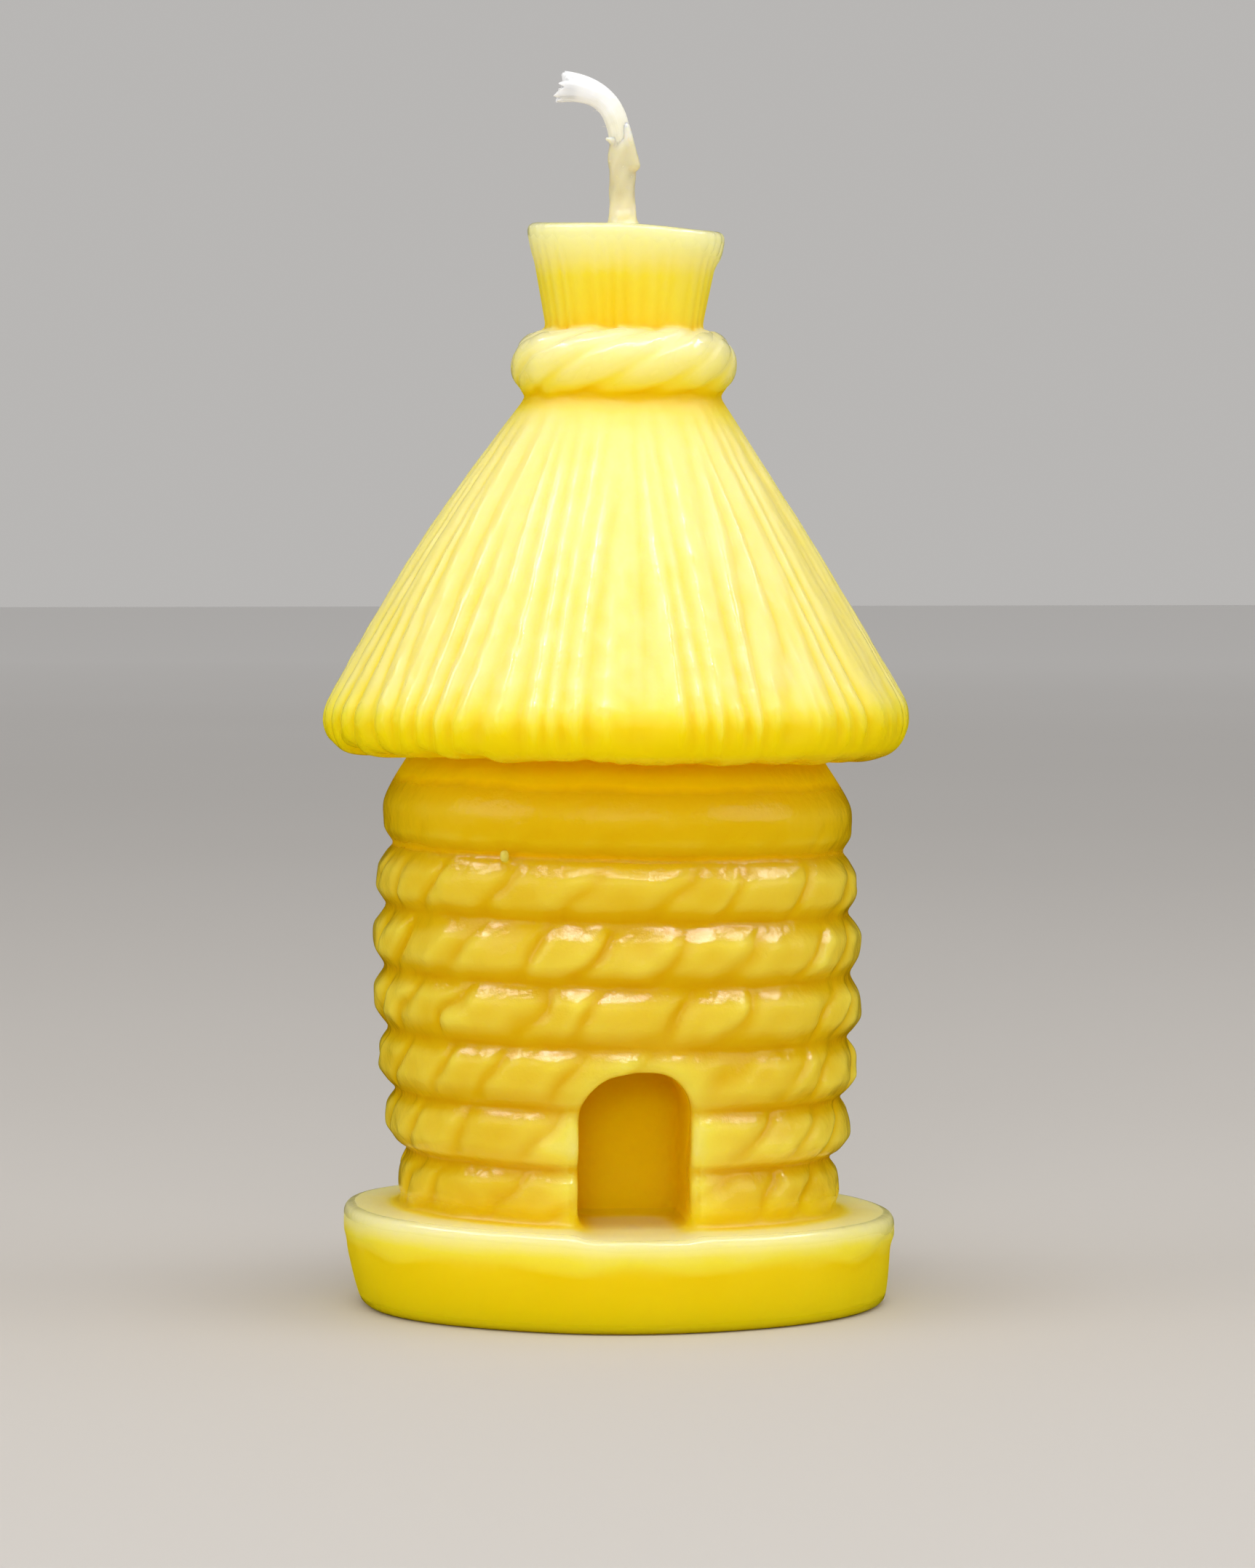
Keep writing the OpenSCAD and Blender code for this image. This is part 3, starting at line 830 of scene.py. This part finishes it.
class Nodes:
    """A material's node tree, with short ways to add nodes and to link them."""

    def __init__(self, name):
        self.material = bpy.data.materials.new(name)
        self.material.use_nodes = True
        self.tree = self.material.node_tree
        self.shader = self.tree.nodes["Principled BSDF"]

    def add(self, kind, **settings):
        node = self.tree.nodes.new("ShaderNode" + kind)
        for key, value in settings.items():
            setattr(node, key, value)
        return node

    def link(self, source, target):
        self.tree.links.new(source, target)

    def value(self, name):
        return self.add("Attribute", attribute_name=name).outputs["Fac"]

    def maths(self, operation, *values, clamp=False):
        """A Math node, fed with numbers and with other nodes' outputs."""
        node = self.add("Math", operation=operation, use_clamp=clamp)
        for socket, value in zip(node.inputs, values):
            if isinstance(value, (int, float)):
                socket.default_value = value
            else:
                self.link(value, socket)
        return node.outputs[0]

    def noise(self, scale, detail=3.0, roughness=0.5):
        """Noise over the object's own coordinates, in cycles per metre."""
        node = self.add("TexNoise")
        node.inputs["Scale"].default_value = scale
        node.inputs["Detail"].default_value = detail
        node.inputs["Roughness"].default_value = roughness
        place = self.add("TexCoord")
        self.link(place.outputs["Object"], node.inputs["Vector"])
        return node.outputs["Fac"]

    def ramp(self, fac, stops):
        node = self.add("ValToRGB")
        while len(node.color_ramp.elements) < len(stops):
            node.color_ramp.elements.new(0.5)
        for element, (place, colour) in zip(node.color_ramp.elements, stops):
            element.position = place
            element.color = colour
        self.link(fac, node.inputs["Fac"])
        return node.outputs["Color"]

    def bump(self, height, strength, distance):
        node = self.add("Bump")
        node.inputs["Strength"].default_value = strength
        node.inputs["Distance"].default_value = distance
        self.link(height, node.inputs["Height"])
        self.link(node.outputs["Normal"], self.shader.inputs["Normal"])


def beeswax():
    """Yellow wax with light and shade painted into its colour: amber where it is deep and little light reaches,
    and pale where light from above gets into it.
    """
    nodes = Nodes("beeswax")
    shader = nodes.shader
    mottle = nodes.maths("MULTIPLY", nodes.maths("SUBTRACT", nodes.noise(160, 4), 0.5), 0.16)
    # Painted shade in hollows and painted light on ridges: hollows are deeper in tone and ridges paler, most of
    # all where the painted light is weakest
    weight = nodes.maths("MULTIPLY_ADD", nodes.value("painted_light"), 1.2, -0.75)
    hollow = nodes.maths("MULTIPLY", nodes.value("crease"), weight)
    pale = nodes.maths("ADD", nodes.value("painted_light"), nodes.maths("ADD", mottle, hollow))
    pale = nodes.maths("MAXIMUM", pale, nodes.maths("MINIMUM", nodes.value("painted_light"), 0.12))
    pale = nodes.maths("ADD", pale, 0.12, clamp=True)
    # The wall's own ramp is darker and more amber than the cooler one, as painted shade on the upright wall
    # under the eave
    wall = nodes.ramp(pale, [
        (0.0, srgb(252, 209, 0)),
        (0.07, srgb(226, 184, 5)),
        (0.2, srgb(227, 187, 16)),
        (0.4, srgb(234, 203, 66)),
        (0.54, srgb(248, 221, 86)),
        (0.68, srgb(254, 228, 135)),
        (0.97, srgb(255, 234, 172)),
    ])
    # Away from the wall, in the plinth, roof, tie and topknot, the deep tones are a cooler yellow
    cooler = nodes.ramp(pale, [
        (0.0, srgb(246, 212, 0)),
        (0.2, srgb(238, 208, 2)),
        (0.4, srgb(242, 212, 16)),
        (0.54, srgb(250, 224, 66)),
        (0.68, srgb(254, 229, 128)),
        (0.97, srgb(255, 235, 172)),
    ])
    blend = nodes.add("Mix", data_type="RGBA")
    nodes.link(nodes.value("cool"), blend.inputs["Factor"])
    nodes.link(wall, blend.inputs["A"])
    nodes.link(cooler, blend.inputs["B"])
    nodes.link(blend.outputs["Result"], shader.inputs["Base Color"])
    rough = nodes.maths("ADD", nodes.maths("MULTIPLY", nodes.noise(420, 3), 0.2), 0.04)
    # Away from the wall only the ridges are glossy, but not the sharper edges of the plinth and the topknot
    ridge = nodes.maths("MULTIPLY", nodes.maths("ADD", nodes.value("crease"), 0.045), -16.0, clamp=True)
    edge = nodes.maths("MULTIPLY", nodes.maths("ADD", nodes.value("crease"), 0.15), -16.0, clamp=True)
    ridge = nodes.maths("SUBTRACT", ridge, edge, clamp=True)
    satin = nodes.maths("MULTIPLY", nodes.maths("SUBTRACT", 1.0, ridge), 0.34)
    rough = nodes.maths("ADD", rough, nodes.maths("MULTIPLY", satin, nodes.value("cool")))
    # The doorway's inside has no gloss
    dull = nodes.maths("MULTIPLY", nodes.value("painted_light"), -5.0, clamp=True)
    dull = nodes.maths("MULTIPLY", dull, 0.45)
    nodes.link(nodes.maths("ADD", rough, dull), shader.inputs["Roughness"])
    shader.inputs["IOR"].default_value = 1.44
    shader.inputs["Specular IOR Level"].default_value = 0.33
    shader.inputs["Subsurface Weight"].default_value = 1.0
    shader.inputs["Subsurface Radius"].default_value = (1.0, 0.97, 0.3)
    shader.inputs["Subsurface Scale"].default_value = 7.5 * MM
    uneven = nodes.maths("ADD", nodes.noise(280, 2), nodes.maths("MULTIPLY", nodes.noise(900, 5, 0.6), 0.4))
    # The wall is more uneven than the rest
    share = nodes.maths("SUBTRACT", 1.0, nodes.maths("MULTIPLY", nodes.value("cool"), 0.62))
    nodes.bump(nodes.maths("MULTIPLY", uneven, share), 0.9, 0.26 * MM)
    return nodes.material


def cotton():
    """Bleached cotton: white where it is dry, cream where the wax has soaked in."""
    nodes = Nodes("cotton_wick")
    shader = nodes.shader
    soak = nodes.maths("MULTIPLY", nodes.maths("SUBTRACT", nodes.noise(700, 3), 0.5), 4.0)
    place = nodes.maths("DIVIDE", nodes.maths("ADD", nodes.value("along"), soak), 18.0, clamp=True)
    colour = nodes.ramp(place, [
        (0.0, srgb(250, 240, 190)),
        (0.42, srgb(236, 230, 196)),
        (0.58, srgb(244, 242, 226)),
        (0.74, srgb(253, 254, 254)),
    ])
    nodes.link(colour, shader.inputs["Base Color"])
    shader.inputs["Roughness"].default_value = 0.75
    shader.inputs["Sheen Weight"].default_value = 0.6
    shader.inputs["Sheen Roughness"].default_value = 0.5
    shader.inputs["Subsurface Weight"].default_value = 0.6
    shader.inputs["Subsurface Radius"].default_value = (1.0, 0.95, 0.85)
    shader.inputs["Subsurface Scale"].default_value = 0.7 * MM
    nodes.bump(nodes.noise(4200, 4, 0.7), 0.4, 0.04 * MM)
    return nodes.material


def thin_wax():
    """The thin wax on the wick, which shows the white cotton through it."""
    nodes = Nodes("wick_wax")
    shader = nodes.shader
    patch = nodes.maths("MULTIPLY", nodes.maths("SUBTRACT", nodes.noise(520, 3), 0.5), 3.0)
    place = nodes.maths("DIVIDE", nodes.maths("ADD", nodes.value("along"), patch), 10.0, clamp=True)
    colour = nodes.ramp(place, [
        (0.0, srgb(246, 236, 168)),
        (0.12, srgb(234, 229, 196)),
        (0.4, srgb(214, 207, 170)),
        (0.7, srgb(222, 215, 178)),
        (0.85, srgb(238, 235, 218)),
    ])
    nodes.link(colour, shader.inputs["Base Color"])
    shader.inputs["Roughness"].default_value = 0.42
    shader.inputs["IOR"].default_value = 1.44
    shader.inputs["Subsurface Weight"].default_value = 1.0
    shader.inputs["Subsurface Radius"].default_value = (1.0, 0.85, 0.45)
    shader.inputs["Subsurface Scale"].default_value = 0.9 * MM
    nodes.bump(nodes.noise(1800, 4, 0.6), 0.3, 0.05 * MM)
    return nodes.material


def pale_floor():
    nodes = Nodes("pale_floor")
    place = nodes.add("TexCoord").outputs["Object"]
    away = nodes.add("VectorMath", operation="LENGTH")
    nodes.link(place, away.inputs[0])
    away = nodes.maths("ADD", away.outputs["Value"], nodes.maths("MULTIPLY", nodes.noise(3, 2), 0.2))
    far = nodes.maths("DIVIDE", away, FLOOR_REACH)
    # Painted light: the floor is paler towards its edge, making up for the lamps' light falling off there, so
    # that the far floor meets the world's colour
    tone = nodes.ramp(far, [(0.1, srgb(205, 200, 194)), (0.7, srgb(247, 246, 245))])
    nodes.link(tone, nodes.shader.inputs["Base Color"])
    nodes.shader.inputs["Roughness"].default_value = 0.8
    return nodes.material


# -------------------------------- assembly

def finish_piece(piece, material, slot, *nodes):
    piece.data.materials.append(material)
    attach(piece, "root")
    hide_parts(*nodes)


def make_wax():
    for add in (add_plinth, add_wall, add_roof, add_tie, add_topknot):
        add()
    courses = [f"rope_course_{k}" for k in range(1, 8)]
    finish_piece(wax_piece(blur_field(field)), beeswax(), "beeswax",
                 "plinth", "wall_core", *courses, "thatch_roof", "rope_tie", "topknot")


def make_floor():
    mesh = bpy.data.meshes.new("floor")
    corners = [(x * FLOOR_REACH, y * FLOOR_REACH, 0) for x, y in ((-1, -1), (1, -1), (1, 1), (-1, 1))]
    mesh.from_pydata(corners, [], [(0, 1, 2, 3)])
    floor = bpy.data.objects.new("floor", mesh)
    floor.data.materials.append(pale_floor())
    # A pale floor in the gloss would lay a veil over the deep tones of the wax
    floor.visible_glossy = False
    bpy.context.scene.collection.objects.link(floor)


def aim(thing, place, target):
    """Puts a light or camera at a place, looking at a target. Both are in metres."""
    thing.location = place
    thing.rotation_euler = (Vector(target) - Vector(place)).to_track_quat("-Z", "Y").to_euler()


def make_light(name, place, width, depth, power, gloss=True, diffuse=True):
    data = bpy.data.lights.new(name, "AREA")
    data.shape, data.size, data.size_y, data.energy = "RECTANGLE", width, depth, power
    lamp = bpy.data.objects.new(name, data)
    lamp.visible_glossy, lamp.visible_diffuse = gloss, diffuse
    bpy.context.scene.collection.objects.link(lamp)
    aim(lamp, place, MIDDLE)


CAMERA_BACK, CAMERA_UP = 0.600, 0.078
AIM_RIGHT, AIM_UP = 0.0009, 0.04845
LENS = 147.9
MIDDLE = (0, 0, 0.05)         # what every light is aimed at
# Each soft light's name, place, width and depth in metres, its power, and whether the gloss shows it
LIGHTS = [
    ("key", (-0.05, -0.6, 0.64), 0.55, 0.45, 0.4, True),
    ("overhead", (0.0, -0.12, 0.75), 0.5, 0.5, 1.72, False),
    ("left", (-0.75, -0.3, 0.4), 0.6, 0.5, 1.35, True),
    ("right", (0.75, -0.3, 0.4), 0.6, 0.5, 1.35, True),
    ("front", (-0.1, -1.05, 0.46), 0.9, 0.45, 1.15, True),
    ("low", (-0.15, -1.06, 0.27), 0.3, 0.12, 2.25, False),
]
# An arc of narrow lights, seen only in the gloss, on the upper bevels of the ropes:
# each one's name, its degrees to the right of the front and above the floor, its width and its power
WINDOW_AWAY, WINDOW_DEPTH = 0.8, 0.12
WINDOWS = [
    ("window", 0, 70, 0.6, 4.8),
    ("window_left", -60, 62, 0.5, 3.4),
    ("window_right", 60, 62, 0.5, 3.4),
    ("window_far_left", -100, 47, 0.5, 2.8),
    ("window_far_right", 100, 47, 0.5, 2.8),
]


def make_studio():
    for name, place, width, depth, power, gloss in LIGHTS:
        make_light(name, place, width, depth, power, gloss=gloss)
    for name, azimuth, elevation, width, power in WINDOWS:
        across, up = math.radians(azimuth), math.radians(elevation)
        place = (math.sin(across) * math.cos(up), -math.cos(across) * math.cos(up), math.sin(up))
        place = [m + WINDOW_AWAY * p for m, p in zip(MIDDLE, place)]
        make_light(name, place, width, WINDOW_DEPTH, power, diffuse=False)
    make_light("glint", (-0.02, -0.36, 0.7), 0.1, 0.1, 0.5, diffuse=False)
    world = bpy.data.worlds.new("studio")
    world.use_nodes = True
    background = world.node_tree.nodes["Background"]
    background.inputs["Color"].default_value = (0.86, 0.84, 0.82, 1)
    background.inputs["Strength"].default_value = 0.56
    world.cycles_visibility.glossy = False
    bpy.context.scene.world = world
    bpy.context.scene.view_settings.view_transform = "Standard"
    camera = bpy.data.objects.new("camera", bpy.data.cameras.new("camera"))
    camera.data.lens = LENS
    camera.data.clip_start, camera.data.clip_end = 0.05, 20
    bpy.context.scene.collection.objects.link(camera)
    ahead = (math.sin(VIEW_TURN), math.cos(VIEW_TURN))
    target = (AIM_RIGHT * ahead[1], -AIM_RIGHT * ahead[0], AIM_UP)
    place = (target[0] - CAMERA_BACK * ahead[0], target[1] - CAMERA_BACK * ahead[1], CAMERA_UP)
    aim(camera, place, target)
    bpy.context.scene.camera = camera


make_wax()
finish_piece(make_wick(), cotton(), "cotton_wick", "wick")
finish_piece(make_wick_wax(), thin_wax(), "wick_wax", "wick_wax")
make_floor()
make_studio()
